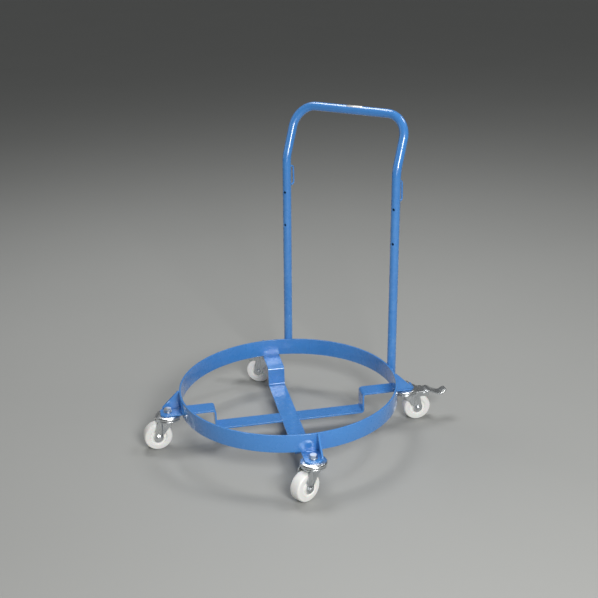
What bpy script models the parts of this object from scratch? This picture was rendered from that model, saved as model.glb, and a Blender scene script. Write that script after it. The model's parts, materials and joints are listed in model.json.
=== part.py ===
"""Drum dolly: a rolled ring on a stepped cross, four swivel casters and a bent-tube push handle.

Frame: the origin is on the ring's axis, on the top face of the cross's low middle.
+Z is up, +Y points to the push handle, and the cross lies on the two diagonals.
Caster sizes are heights above the floor, because each caster hangs from an empty on the floor.
"""

import math

import bmesh
import bpy
from mathutils import Matrix, Vector

MM = 0.001
GAP = 0.3 * MM

# Ring and cross, all of one flat bar section.
BAR_WIDTH = 50 * MM
BAR_THICKNESS = 5 * MM
RING_RADIUS = 310 * MM
RING_HEIGHT = 50 * MM
RING_SEGMENTS = 96
SEAT_RISE = 57 * MM
STEP_RADIUS = 214 * MM
BAR_END_RADIUS = 367 * MM
BAR_END_CHAMFER = 10 * MM
BUTT_GAP = 0.45 * MM
BEND_RADIUS = 7.5 * MM

# Gussets that brace the ring on each bar end.
GUSSET_REACH = 360 * MM
GUSSET_OFFSET = 21.5 * MM
GUSSET_NOSE = 4.5 * MM

# Push handle.
TUBE_RADIUS = 12.7 * MM
TUBE_WALL = 2.0 * MM
TUBE_SEGMENTS = 12
HANDLE_BEND_STEPS = 4
HANDLE_HALF_WIDTH = 185.5 * MM
HANDLE_LEAN_DEG = 2.3
HANDLE_TILT_DEG = 24.0
KINK_HEIGHT = 730.5 * MM
KINK_RADIUS = 90 * MM
TOP_BAR_HEIGHT = 874.5 * MM
TOP_CORNER_RADIUS = 66 * MM
PIN_HOLE_RADIUS = 4.0 * MM
PIN_HOLE_HEIGHTS = (524.5 * MM, 624.5 * MM)

# Strap loops behind the uprights, and the blank label on the top bar.
LOOP_WIRE_RADIUS = 2.5 * MM
LOOP_LOW = 641.5 * MM
LOOP_HIGH = 697.5 * MM
LOOP_STANDOFF = 23 * MM
LOOP_CORNER_RADIUS = 8 * MM
LOOP_GAP = 0.45 * MM
LABEL_LENGTH = 51 * MM
LABEL_SHIFT = 13 * MM
LABEL_THICKNESS = 0.8 * MM
LABEL_ARC_DEG = (130, 40)
LABEL_ARC_STEPS = 8

# Casters, one under each bar end.
CASTER_RADIUS = 346 * MM
CASTER_HEIGHT = 102.5 * MM
CASTER_TRAIL = 33 * MM
WHEEL_RADIUS = 40 * MM
HUB_WIDTH = 35 * MM
WHEEL_SEGMENTS = 28
BOLT_RADIUS = 6 * MM
BOLT_FLATS = 19 * MM
BOLT_HEAD = 7.5 * MM
BOLT_PROUD = 2 * MM
NUT_HEIGHT = 8 * MM
WASHER_RADIUS = 12 * MM
WASHER_THICKNESS = 2.5 * MM
RACE_RADIUS = 36 * MM
RACE_DEPTH = 9.4 * MM
SHEET = 2.4 * MM
DISH_CORNER = 4 * MM
DISH_SLOPE_SHIFT = 0.4 * SHEET
FLAT_INSET = 6 * MM
DISH_SEGMENTS = 20
CROWN_TOP = 93.5 * MM
CROWN_RADIUS = 34.3 * MM
CROWN_DEPTH = 8 * MM
BALL_TRACK_RADIUS = 24 * MM
BALL_RADIUS = 2.9 * MM
LEG_INSIDE = 18.5 * MM
LEG_THICKNESS = 3 * MM
LEG_END_RADIUS = 13 * MM
LEG_FRONT = -10 * MM
LEG_BACK = 27 * MM
LEG_FRONT_LOW = 81.5 * MM
LEG_BACK_LOW = (36 * MM, 83.5 * MM)
LEG_END_ARC_DEG = (160, 372)
AXLE_RADIUS = 4 * MM
AXLE_FLATS = 13 * MM
AXLE_HEAD = 5.3 * MM
AXLE_NUT = 6.5 * MM
SLEEVE_RADIUS = 8 * MM
# One side of the wheel, in mm, from its bore to its tread: (radius, distance from the middle).
WHEEL_SIDE = ((14, 17.5), (15.5, 12), (22, 12), (24, 15.8), (36.8, 16), (39.4, 13.5), (40, 9))

# Brake on the two casters at the handle. Outlines are in mm: (along the trail, above the floor).
BRAKE_PIVOT = (52 * MM, 83.8 * MM)
BRAKE_PIN_RADIUS = 2.5 * MM
BRAKE_PIN_PROUD = 1.5 * MM
BRAKE_EAR_RADIUS = 7 * MM
BRAKE_EAR_ARC_DEG = (-60, 80)
BRAKE_EAR_START = (39 * MM, 76.5 * MM)
BRAKE_EAR_TOP = 91.1 * MM
WEB_OUTLINE = ((20, 88.9), (53, 88.9), (53, 91.6), (20, 91.6))
PEDAL_WIDTH = 40 * MM
PEDAL_THICKNESS = 2.4 * MM
PEDAL_LINE = (
    (59, 88.9),
    (64, 90.1),
    (70, 89.4),
    (79, 84.8),
    (89, 79.4),
    (98, 76.0),
    (106, 75.0),
    (112.5, 78.0),
    (119, 81.7),
    (123.5, 82.8),
)
CAM_BARREL_RADIUS = 4.5 * MM
CAM_BARREL_ARC_DEG = (70, 250)
CAM_NOSE = ((59, 75.9), (64.3, 72.1), (67, 78.8), (65.4, 89.9), (59.4, 89.7))
CAM_SIDE_PLAY = 0.8 * MM

# Direction of the cross bar that runs through. It is welded a little off square.
LONG_BAR_DEG = 315.4

# Each caster: angle of its bar end, rest direction of its trail, gusset side, brake.
CASTERS = {
    "rear_right": (45, 47, -1, True),
    "rear_left": (LONG_BAR_DEG - 180, 203, 1, True),
    "front_left": (225, 231, -1, False),
    "front_right": (LONG_BAR_DEG, 258, 1, False),
}

SEAT_BOTTOM = SEAT_RISE - BAR_THICKNESS
FLOOR = SEAT_BOTTOM - CASTER_HEIGHT
RING_BOTTOM = SEAT_RISE + GAP
RING_TOP = RING_BOTTOM + RING_HEIGHT
LEG_OUTSIDE = LEG_INSIDE + LEG_THICKNESS


# ---------------------------------------------------------------- materials


def material(name, colour, roughness, metallic):
    made = bpy.data.materials.new(name)
    made.use_nodes = True
    shader = made.node_tree.nodes["Principled BSDF"]
    shader.inputs["Base Color"].default_value = (*colour, 1)
    shader.inputs["Roughness"].default_value = roughness
    shader.inputs["Metallic"].default_value = metallic
    made.diffuse_color = (*colour, 1)
    return made


def make_materials():
    return {
        "blue_paint": material("blue_paint", (0.03, 0.16, 0.50), 0.35, 0.0),
        "zinc": material("zinc", (0.62, 0.64, 0.66), 0.30, 1.0),
        "nylon": material("nylon", (0.83, 0.83, 0.80), 0.45, 0.0),
        "label": material("label", (0.90, 0.90, 0.90), 0.50, 0.0),
    }


# ---------------------------------------------------------------- mesh building


def finished_mesh(name, bm):
    """Turns bm into a mesh with outward faces and smooth round sides."""
    bmesh.ops.recalc_face_normals(bm, faces=bm.faces)
    mesh = bpy.data.meshes.new(name)
    bm.to_mesh(mesh)
    bm.free()
    mesh.shade_smooth()
    mesh.set_sharp_from_angle(angle=math.radians(30))
    return mesh


def joined_loops(name, loops, closed):
    """Joins rings of points, each as long as the next. Open ends get a flat cap."""
    bm = bmesh.new()
    rings = [[bm.verts.new(point) for point in loop] for loop in loops]
    pairs = list(zip(rings, rings[1:]))
    if closed:
        pairs.append((rings[-1], rings[0]))
    for first, second in pairs:
        for k in range(len(first)):
            n = (k + 1) % len(first)
            bm.faces.new((first[k], first[n], second[n], second[k]))
    if not closed:
        bm.faces.new(rings[0])
        bm.faces.new(rings[-1])
    return finished_mesh(name, bm)


def turned(name, profile, segments):
    """A closed (radius, height) outline turned about Z, clear of the axis."""
    loops = []
    for k in range(segments):
        angle = 2 * math.pi * k / segments
        loops.append([(r * math.cos(angle), r * math.sin(angle), z) for r, z in profile])
    return joined_loops(name, loops, closed=True)


def rod(name, radius, low, high, segments=16):
    """A solid round bar along Z."""
    loops = []
    for z in (low, high):
        loops.append([Vector((x, y, z)) for x, y in circle(radius, segments)])
    return joined_loops(name, loops, closed=False)


def hex_bar(name, across_flats, low, high):
    """A solid hexagonal bar along Z."""
    corner = across_flats / 2 / math.cos(math.pi / 6)
    loops = []
    for z in (low, high):
        loops.append([Vector((x, y, z)) for x, y in circle(corner, 6)])
    return joined_loops(name, loops, closed=False)


def plate(name, outline, low, high):
    """An (x, z) outline given thickness along Y, from low to high."""
    loops = []
    for y in (low, high):
        loops.append([(x, y, z) for x, z in outline])
    return joined_loops(name, loops, closed=False)


def in_metres(points):
    return [(x * MM, z * MM) for x, z in points]


def circle(radius, segments):
    angles = [2 * math.pi * k / segments for k in range(segments)]
    return [(radius * math.cos(a), radius * math.sin(a)) for a in angles]


def arc(centre, radius, start, end, steps):
    """Points on an arc in a plane, angles in degrees."""
    points = []
    for k in range(steps + 1):
        angle = math.radians(start + (end - start) * k / steps)
        points.append((centre[0] + radius * math.cos(angle), centre[1] + radius * math.sin(angle)))
    return points


def rounded_path(corners, radii, steps):
    """A path through corners, with each inner corner turned to an arc of its radius."""
    path = [Vector(corners[0])]
    for before, corner, after, radius in zip(corners, corners[1:], corners[2:], radii):
        corner = Vector(corner)
        back = (Vector(before) - corner).normalized()
        ahead = (Vector(after) - corner).normalized()
        half = back.angle(ahead) / 2
        middle = corner + (back + ahead).normalized() * (radius / math.sin(half))
        start = corner + back * (radius / math.tan(half)) - middle
        end = corner + ahead * (radius / math.tan(half)) - middle
        for k in range(steps + 1):
            path.append(middle + start.slerp(end, k / steps).normalized() * radius)
    path.append(Vector(corners[-1]))
    return path


def ring_round(path, k, radius, segments, side):
    """Points round path[k], square to the path. side is a direction that is never along it."""
    ahead = path[min(k + 1, len(path) - 1)] - path[k]
    behind = path[k] - path[max(k - 1, 0)]
    along = (ahead.normalized() + behind.normalized()).normalized()
    across = side.cross(along).normalized()
    up = along.cross(across)
    return [path[k] + across * x + up * y for x, y in circle(radius, segments)]


def bent_rod(name, path, radius, segments, side):
    """A solid round bar bent along a flat path. side is the path's normal."""
    loops = [ring_round(path, k, radius, segments, side) for k in range(len(path))]
    return joined_loops(name, loops, closed=False)


def bent_tube(name, path, radius, wall, segments, side):
    """A round tube with open ends. side is a direction that is never along it."""
    outside = []
    inside = []
    for k in range(len(path)):
        outside.append(ring_round(path, k, radius, segments, side))
        inside.append(ring_round(path, k, radius - wall, segments, side))
    return joined_loops(name, outside + inside[::-1], closed=True)


def combined(name, mesh, *changes):
    """The mesh after a list of (operation, tool mesh, tool matrix) Booleans."""
    body = bpy.data.objects.new(name, mesh)
    bpy.context.collection.objects.link(body)
    tools = []
    for operation, tool_mesh, matrix in changes:
        tool = bpy.data.objects.new("tool", tool_mesh)
        tool.matrix_world = matrix
        bpy.context.collection.objects.link(tool)
        change = body.modifiers.new(operation.lower(), "BOOLEAN")
        change.operation = operation
        change.solver = "EXACT"
        change.object = tool
        tools.append(tool)
    graph = bpy.context.evaluated_depsgraph_get()
    result = bpy.data.meshes.new_from_object(body.evaluated_get(graph))
    result.name = name
    for helper in [body, *tools]:
        bpy.data.objects.remove(helper)
    result.shade_smooth()
    result.set_sharp_from_angle(angle=math.radians(30))
    return result


def moved(x=0.0, y=0.0, z=0.0):
    return Matrix.Translation((x, y, z))


def laid_along_y():
    """Turns the Z axis to the Y axis."""
    return Matrix.Rotation(math.radians(-90), 4, "X")


def place(name, mesh, finish, parent=None, location=(0, 0, 0), rotation=(0, 0, 0)):
    """Puts a named piece in the scene. Pieces that share a mesh share its finish."""
    piece = bpy.data.objects.new(name, mesh)
    if not mesh.materials:
        mesh.materials.append(finish)
    mesh.materials[0] = finish
    piece.parent = parent
    piece.location = location
    piece.rotation_euler = rotation
    bpy.context.collection.objects.link(piece)
    return piece


# ---------------------------------------------------------------- ring, cross and gussets


def make_ring(finish):
    inside = RING_RADIUS - BAR_THICKNESS
    profile = [
        (inside, RING_BOTTOM),
        (RING_RADIUS, RING_BOTTOM),
        (RING_RADIUS, RING_TOP),
        (inside, RING_TOP),
    ]
    place("drum_ring", turned("drum_ring", profile, RING_SEGMENTS), finish)


def bar_loop(path, shorten_start, shorten_end, y):
    """The outline of a bent flat bar at one place across its width."""
    path = [point.copy() for point in path]
    path[0] += (path[1] - path[0]).normalized() * shorten_start
    path[-1] += (path[-2] - path[-1]).normalized() * shorten_end
    upper = []
    lower = []
    for k, point in enumerate(path):
        ahead = path[min(k + 1, len(path) - 1)] - point
        behind = point - path[max(k - 1, 0)]
        along = (ahead.normalized() + behind.normalized()).normalized()
        normal = Vector((-along.z, 0, along.x)) * (BAR_THICKNESS / 2)
        upper.append((point.x + normal.x, y, point.z + normal.z))
        lower.append((point.x - normal.x, y, point.z - normal.z))
    return upper + lower[::-1]


def stepped_bar(name, corners, chamfer_start):
    """A flat bar bent along corners, with its end corners cut off at the caster."""
    path = rounded_path(corners, [BEND_RADIUS] * (len(corners) - 2), 4)
    half = BAR_WIDTH / 2
    loops = []
    for y, cut in (
        (-half, BAR_END_CHAMFER),
        (BAR_END_CHAMFER - half, 0),
        (half - BAR_END_CHAMFER, 0),
        (half, BAR_END_CHAMFER),
    ):
        loops.append(bar_loop(path, cut if chamfer_start else 0, cut, y))
    return joined_loops(name, loops, closed=False)


def arm_corners(start):
    """The centre line of one arm of the cross, from start out to the caster."""
    low = -BAR_THICKNESS / 2
    high = SEAT_RISE - BAR_THICKNESS / 2
    return [
        (start, 0, low),
        (STEP_RADIUS, 0, low),
        (STEP_RADIUS, 0, high),
        (BAR_END_RADIUS, 0, high),
    ]


def drilled(mesh, *places):
    """The bar with a caster bolt hole at each x in places."""
    drill = rod("drill", BOLT_RADIUS + GAP, 0, 2 * SEAT_RISE, 20)
    cuts = [("DIFFERENCE", drill, moved(x=x)) for x in places]
    return combined(mesh.name, mesh, *cuts)


def make_cross(finish):
    """One bar runs through. The other is in two halves, butted against its sides."""
    arm = arm_corners(BAR_WIDTH / 2 + BUTT_GAP)
    other_arm = [(-x, y, z) for x, y, z in arm[:0:-1]]
    through = stepped_bar("long_cross_bar", other_arm + arm[1:], chamfer_start=True)
    through = drilled(through, -CASTER_RADIUS, CASTER_RADIUS)
    place("long_cross_bar", through, finish, rotation=(0, 0, math.radians(LONG_BAR_DEG)))
    half = stepped_bar("half_cross_bar", arm, chamfer_start=False)
    half = drilled(half, CASTER_RADIUS)
    place("right_cross_bar", half, finish, rotation=(0, 0, math.radians(45)))
    place("left_cross_bar", half, finish, rotation=(0, 0, math.radians(225)))


def make_gussets(finish):
    near_edge = GUSSET_OFFSET - BAR_THICKNESS / 2
    foot = math.sqrt(RING_RADIUS**2 - near_edge**2) + GAP
    outline = [
        (foot, RING_BOTTOM),
        (GUSSET_REACH, RING_BOTTOM),
        (GUSSET_REACH, RING_BOTTOM + GUSSET_NOSE),
        (foot + GUSSET_NOSE, RING_TOP),
        (foot, RING_TOP),
    ]
    for corner, (angle, _, side, _) in CASTERS.items():
        middle = side * GUSSET_OFFSET
        low = middle - BAR_THICKNESS / 2
        high = middle + BAR_THICKNESS / 2
        mesh = plate(f"{corner}_gusset", outline, low, high)
        place(f"{corner}_gusset", mesh, finish, rotation=(0, 0, math.radians(angle)))


# ---------------------------------------------------------------- push handle


def upright_y(height):
    """How far back the upright's centre line is, at a height above the floor."""
    foot_radius = RING_RADIUS + TUBE_RADIUS + GAP
    foot_y = math.sqrt(foot_radius**2 - HANDLE_HALF_WIDTH**2)
    return foot_y + (height - (RING_BOTTOM - FLOOR)) * math.tan(math.radians(HANDLE_LEAN_DEG))


def top_bar_y():
    rise = TOP_BAR_HEIGHT - KINK_HEIGHT
    return upright_y(KINK_HEIGHT) + rise * math.tan(math.radians(HANDLE_TILT_DEG))


def handle_corners():
    foot = (upright_y(RING_BOTTOM - FLOOR), RING_BOTTOM)
    kink = (upright_y(KINK_HEIGHT), KINK_HEIGHT + FLOOR)
    top = (top_bar_y(), TOP_BAR_HEIGHT + FLOOR)
    right = [(HANDLE_HALF_WIDTH, y, z) for y, z in (foot, kink, top)]
    left = [(-x, y, z) for x, y, z in right[::-1]]
    return right + left


def make_handle(finish):
    radii = (KINK_RADIUS, TOP_CORNER_RADIUS, TOP_CORNER_RADIUS, KINK_RADIUS)
    path = rounded_path(handle_corners(), radii, HANDLE_BEND_STEPS)
    tilt = math.radians(HANDLE_TILT_DEG)
    facing = Vector((0, -math.cos(tilt), math.sin(tilt)))
    tube = bent_tube("handle_tube", path, TUBE_RADIUS, TUBE_WALL, TUBE_SEGMENTS, facing)
    drill = rod("drill", PIN_HOLE_RADIUS, -2 * TUBE_RADIUS, 2 * TUBE_RADIUS, 12)
    cuts = []
    for height in PIN_HOLE_HEIGHTS:
        for x in (-HANDLE_HALF_WIDTH, HANDLE_HALF_WIDTH):
            spot = moved(x, upright_y(height), height + FLOOR)
            cuts.append(("DIFFERENCE", drill, spot @ laid_along_y()))
    place("handle_tube", combined("handle_tube", tube, *cuts), finish)


def make_strap_loops(finish):
    """A bent wire loop welded to the back of each upright."""
    clear = TUBE_RADIUS + LOOP_GAP
    low_y = upright_y(LOOP_LOW) + clear
    high_y = upright_y(LOOP_HIGH) + clear
    back_y = upright_y(LOOP_HIGH) + TUBE_RADIUS + LOOP_STANDOFF - LOOP_WIRE_RADIUS
    corners = [
        (0, low_y, LOOP_LOW + FLOOR),
        (0, back_y, LOOP_LOW + FLOOR),
        (0, back_y, LOOP_HIGH + FLOOR),
        (0, high_y, LOOP_HIGH + FLOOR),
    ]
    path = rounded_path(corners, [LOOP_CORNER_RADIUS] * 2, 4)
    mesh = bent_rod("strap_loop", path, LOOP_WIRE_RADIUS, 10, Vector((1, 0, 0)))
    place("right_strap_loop", mesh, finish, location=(HANDLE_HALF_WIDTH, 0, 0))
    place("left_strap_loop", mesh, finish, location=(-HANDLE_HALF_WIDTH, 0, 0))


def make_label(finish):
    """A thin curved strip on top of the handle's top bar, a little to the right of its middle."""
    inside = TUBE_RADIUS + GAP
    outside = inside + LABEL_THICKNESS
    start, end = LABEL_ARC_DEG
    outline = arc((0, 0), inside, start, end, LABEL_ARC_STEPS)
    outline += arc((0, 0), outside, end, start, LABEL_ARC_STEPS)
    loops = []
    for x in (-LABEL_LENGTH / 2, LABEL_LENGTH / 2):
        loops.append([(x, y, z) for y, z in outline])
    mesh = joined_loops("blank_label", loops, closed=False)
    place("blank_label", mesh, finish, location=(LABEL_SHIFT, top_bar_y(), TOP_BAR_HEIGHT + FLOOR))


# ---------------------------------------------------------------- caster pieces


def bolt_mesh(name, radius, flats, head, end):
    """A hex bolt along Z: its head sits on z = 0 and its shank runs down to end."""
    shank = rod(f"{name}_shank", radius, end, head / 2, 16)
    return combined(name, hex_bar(name, flats, 0, head), ("UNION", shank, moved()))


def nut_mesh(name, hole, flats, height):
    """A hex nut on z = 0."""
    drill = rod(f"{name}_drill", hole + GAP, -height, 2 * height, 16)
    return combined(name, hex_bar(name, flats, 0, height), ("DIFFERENCE", drill, moved()))


def washer_mesh():
    inside = BOLT_RADIUS + GAP
    profile = [
        (inside, 0),
        (WASHER_RADIUS, 0),
        (WASHER_RADIUS, WASHER_THICKNESS),
        (inside, WASHER_THICKNESS),
    ]
    return turned("washer", profile, 16)


def dish_profile(radius, top, depth):
    """A pressed round dish, open below, of even sheet thickness."""
    hole = BOLT_RADIUS + GAP
    return [
        (hole, top),
        (radius - FLAT_INSET, top),
        (radius, top - DISH_CORNER),
        (radius, top - depth),
        (radius - SHEET, top - depth),
        (radius - SHEET, top - DISH_CORNER - DISH_SLOPE_SHIFT),
        (radius - FLAT_INSET - DISH_SLOPE_SHIFT, top - SHEET),
        (hole, top - SHEET),
    ]


def race_mesh():
    """The fixed upper race: the dish that the bolt clamps under the bar end."""
    profile = dish_profile(RACE_RADIUS, CASTER_HEIGHT - GAP, RACE_DEPTH)
    return turned("upper_race", profile, DISH_SEGMENTS)


def ball_ring_mesh():
    """The ring of bearing balls, as one ring of the balls' diameter."""
    height = CROWN_TOP + GAP + BALL_RADIUS
    profile = [(BALL_TRACK_RADIUS + x, height + z) for x, z in circle(BALL_RADIUS, 6)]
    return turned("ball_ring", profile, 16)


def leg_outline(braked):
    """One fork leg seen from the side: from the crown down round the axle."""
    axle = (CASTER_TRAIL, WHEEL_RADIUS)
    top = CROWN_TOP - SHEET / 2
    outline = [(LEG_FRONT, top), (LEG_FRONT, LEG_FRONT_LOW)]
    outline += arc(axle, LEG_END_RADIUS, *LEG_END_ARC_DEG, 9)
    if braked:
        outline.append(BRAKE_EAR_START)
        outline += arc(BRAKE_PIVOT, BRAKE_EAR_RADIUS, *BRAKE_EAR_ARC_DEG, 6)
        outline.append((LEG_BACK, BRAKE_EAR_TOP))
    else:
        outline.append(LEG_BACK_LOW)
    outline.append((LEG_BACK, top))
    return outline


def fork_mesh(braked):
    """The swivelling fork: a dished crown with two legs, and ears for a brake."""
    name = "braked_fork" if braked else "fork"
    crown = turned(name, dish_profile(CROWN_RADIUS, CROWN_TOP, CROWN_DEPTH), DISH_SEGMENTS)
    outline = leg_outline(braked)
    near = plate("near_leg", outline, -LEG_OUTSIDE, -LEG_INSIDE)
    far = plate("far_leg", outline, LEG_INSIDE, LEG_OUTSIDE)
    changes = [("UNION", near, moved()), ("UNION", far, moved())]
    if braked:
        middle = LEG_INSIDE + LEG_THICKNESS / 2
        web = plate("web", in_metres(WEB_OUTLINE), -middle, middle)
        changes.append(("UNION", web, moved()))
        pin_drill = rod("pin_drill", BRAKE_PIN_RADIUS + GAP, -2 * LEG_OUTSIDE, 2 * LEG_OUTSIDE, 12)
        spot = moved(x=BRAKE_PIVOT[0], z=BRAKE_PIVOT[1])
        changes.append(("DIFFERENCE", pin_drill, spot @ laid_along_y()))
    axle_drill = rod("axle_drill", AXLE_RADIUS + GAP, -2 * LEG_OUTSIDE, 2 * LEG_OUTSIDE, 16)
    spot = moved(x=CASTER_TRAIL, z=WHEEL_RADIUS)
    changes.append(("DIFFERENCE", axle_drill, spot @ laid_along_y()))
    return combined(name, crown, *changes)


def wheel_mesh():
    """A solid wheel along Z about its own centre, dished each side between hub and rim."""
    side = [(SLEEVE_RADIUS + GAP, HUB_WIDTH / 2), *in_metres(WHEEL_SIDE)]
    other_side = [(r, -z) for r, z in side[::-1]]
    return turned("wheel", side + other_side, WHEEL_SEGMENTS)


def sleeve_mesh():
    """The tube that the fork legs clamp and the wheel turns on."""
    half = LEG_INSIDE - GAP
    inside = AXLE_RADIUS + GAP
    profile = [(inside, -half), (SLEEVE_RADIUS, -half), (SLEEVE_RADIUS, half), (inside, half)]
    return turned("axle_sleeve", profile, 14)


def from_pin(points):
    """Outline points in mm over the floor, as metres from the brake pin."""
    return [(x - BRAKE_PIVOT[0], z - BRAKE_PIVOT[1]) for x, z in in_metres(points)]


def pedal_mesh():
    """The brake pedal about its pin: barrel, cam nose and foot plate."""
    line = [Vector((x, 0, z)) for x, z in from_pin(PEDAL_LINE)]
    upper = []
    lower = []
    for k, point in enumerate(line):
        along = (line[min(k + 1, len(line) - 1)] - line[max(k - 1, 0)]).normalized()
        normal = Vector((-along.z, 0, along.x)) * (PEDAL_THICKNESS / 2)
        upper.append((point.x + normal.x, point.z + normal.z))
        lower.append((point.x - normal.x, point.z - normal.z))
    foot_plate = plate("brake_pedal", upper + lower[::-1], -PEDAL_WIDTH / 2, PEDAL_WIDTH / 2)
    cam_outline = arc((0, 0), CAM_BARREL_RADIUS, *CAM_BARREL_ARC_DEG, 6) + from_pin(CAM_NOSE)
    half = LEG_INSIDE - CAM_SIDE_PLAY
    cam = plate("cam", cam_outline, -half, half)
    drill = rod("pedal_drill", BRAKE_PIN_RADIUS + GAP, -2 * half, 2 * half, 12)
    return combined(
        "brake_pedal",
        foot_plate,
        ("UNION", cam, moved()),
        ("DIFFERENCE", drill, laid_along_y()),
    )


def make_caster_meshes():
    """The meshes that the casters share."""
    bolt_end = CROWN_TOP - SHEET - NUT_HEIGHT - BOLT_PROUD
    bolt_seat = CASTER_HEIGHT + BAR_THICKNESS + WASHER_THICKNESS + 2 * GAP
    shank = bolt_end - bolt_seat
    axle_shank = -(2 * LEG_OUTSIDE + AXLE_NUT + BOLT_PROUD)
    pin_end = LEG_OUTSIDE + BRAKE_PIN_PROUD
    return {
        "mounting_bolt": bolt_mesh("mounting_bolt", BOLT_RADIUS, BOLT_FLATS, BOLT_HEAD, shank),
        "mounting_nut": nut_mesh("mounting_nut", BOLT_RADIUS, BOLT_FLATS, NUT_HEIGHT),
        "washer": washer_mesh(),
        "upper_race": race_mesh(),
        "ball_ring": ball_ring_mesh(),
        "fork": fork_mesh(braked=False),
        "braked_fork": fork_mesh(braked=True),
        "wheel": wheel_mesh(),
        "axle_sleeve": sleeve_mesh(),
        "axle_bolt": bolt_mesh("axle_bolt", AXLE_RADIUS, AXLE_FLATS, AXLE_HEAD, axle_shank),
        "axle_nut": nut_mesh("axle_nut", AXLE_RADIUS, AXLE_FLATS, AXLE_NUT),
        "brake_pedal": pedal_mesh(),
        "brake_pin": rod("brake_pin", BRAKE_PIN_RADIUS, -pin_end, pin_end, 12),
    }


# ---------------------------------------------------------------- casters


def make_mounting(corner, meshes, finish, base):
    """The pieces that stay with the frame: bolt, washer, upper race and nut."""
    washer_seat = CASTER_HEIGHT + BAR_THICKNESS + GAP
    bolt_seat = washer_seat + WASHER_THICKNESS + GAP
    nut_seat = CROWN_TOP - SHEET - GAP - NUT_HEIGHT
    place(f"{corner}_mounting_bolt", meshes["mounting_bolt"], finish, base, (0, 0, bolt_seat))
    place(f"{corner}_washer", meshes["washer"], finish, base, (0, 0, washer_seat))
    place(f"{corner}_upper_race", meshes["upper_race"], finish, base)
    place(f"{corner}_mounting_nut", meshes["mounting_nut"], finish, base, (0, 0, nut_seat))


def make_swivel(corner, meshes, finish, swivel, braked):
    """The pieces that turn with the fork."""
    fork = meshes["braked_fork" if braked else "fork"]
    place(f"{corner}_fork", fork, finish, swivel)
    place(f"{corner}_ball_ring", meshes["ball_ring"], finish, swivel)
    head_y = LEG_OUTSIDE + GAP
    across = (math.radians(-90), 0, 0)
    axle = (CASTER_TRAIL, 0, WHEEL_RADIUS)
    place(f"{corner}_axle_sleeve", meshes["axle_sleeve"], finish, swivel, axle, across)
    bolt_at = (CASTER_TRAIL, head_y, WHEEL_RADIUS)
    place(f"{corner}_axle_bolt", meshes["axle_bolt"], finish, swivel, bolt_at, across)
    nut_at = (CASTER_TRAIL, -head_y - AXLE_NUT, WHEEL_RADIUS)
    place(f"{corner}_axle_nut", meshes["axle_nut"], finish, swivel, nut_at, across)


def make_brake(corner, meshes, finish, swivel):
    """The pedal turns on its pin. The pin is fixed in the fork's ears."""
    pivot = (BRAKE_PIVOT[0], 0, BRAKE_PIVOT[1])
    place(f"{corner}_brake_pedal", meshes["brake_pedal"], finish, swivel, pivot)
    across = (math.radians(-90), 0, 0)
    place(f"{corner}_brake_pin", meshes["brake_pin"], finish, swivel, pivot, across)


def make_caster(corner, meshes, finishes):
    angle, trail_angle, _, braked = CASTERS[corner]
    spot = (
        CASTER_RADIUS * math.cos(math.radians(angle)),
        CASTER_RADIUS * math.sin(math.radians(angle)),
        FLOOR,
    )
    base = bpy.data.objects.new(f"{corner}_caster", None)
    base.location = spot
    base.rotation_euler = (0, 0, math.radians(angle))
    bpy.context.collection.objects.link(base)
    swivel = bpy.data.objects.new(f"{corner}_swivel_axis", None)
    swivel.parent = base
    swivel.rotation_euler = (0, 0, math.radians(trail_angle - angle))
    bpy.context.collection.objects.link(swivel)
    make_mounting(corner, meshes, finishes["zinc"], base)
    make_swivel(corner, meshes, finishes["zinc"], swivel, braked)
    across = (math.radians(-90), 0, 0)
    axle = (CASTER_TRAIL, 0, WHEEL_RADIUS)
    place(f"{corner}_wheel", meshes["wheel"], finishes["nylon"], swivel, axle, across)
    if braked:
        make_brake(corner, meshes, finishes["zinc"], swivel)


def clear_scene():
    for old in list(bpy.data.objects):
        bpy.data.objects.remove(old)


def main():
    clear_scene()
    finishes = make_materials()
    make_ring(finishes["blue_paint"])
    make_cross(finishes["blue_paint"])
    make_gussets(finishes["blue_paint"])
    make_handle(finishes["blue_paint"])
    make_strap_loops(finishes["blue_paint"])
    make_label(finishes["label"])
    meshes = make_caster_meshes()
    for corner in CASTERS:
        make_caster(corner, meshes, finishes)


main()
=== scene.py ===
"""Drum dolly: the looks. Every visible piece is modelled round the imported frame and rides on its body."""

import json
import math
import random

import bmesh
import bpy
from mathutils import Matrix, Vector


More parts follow.
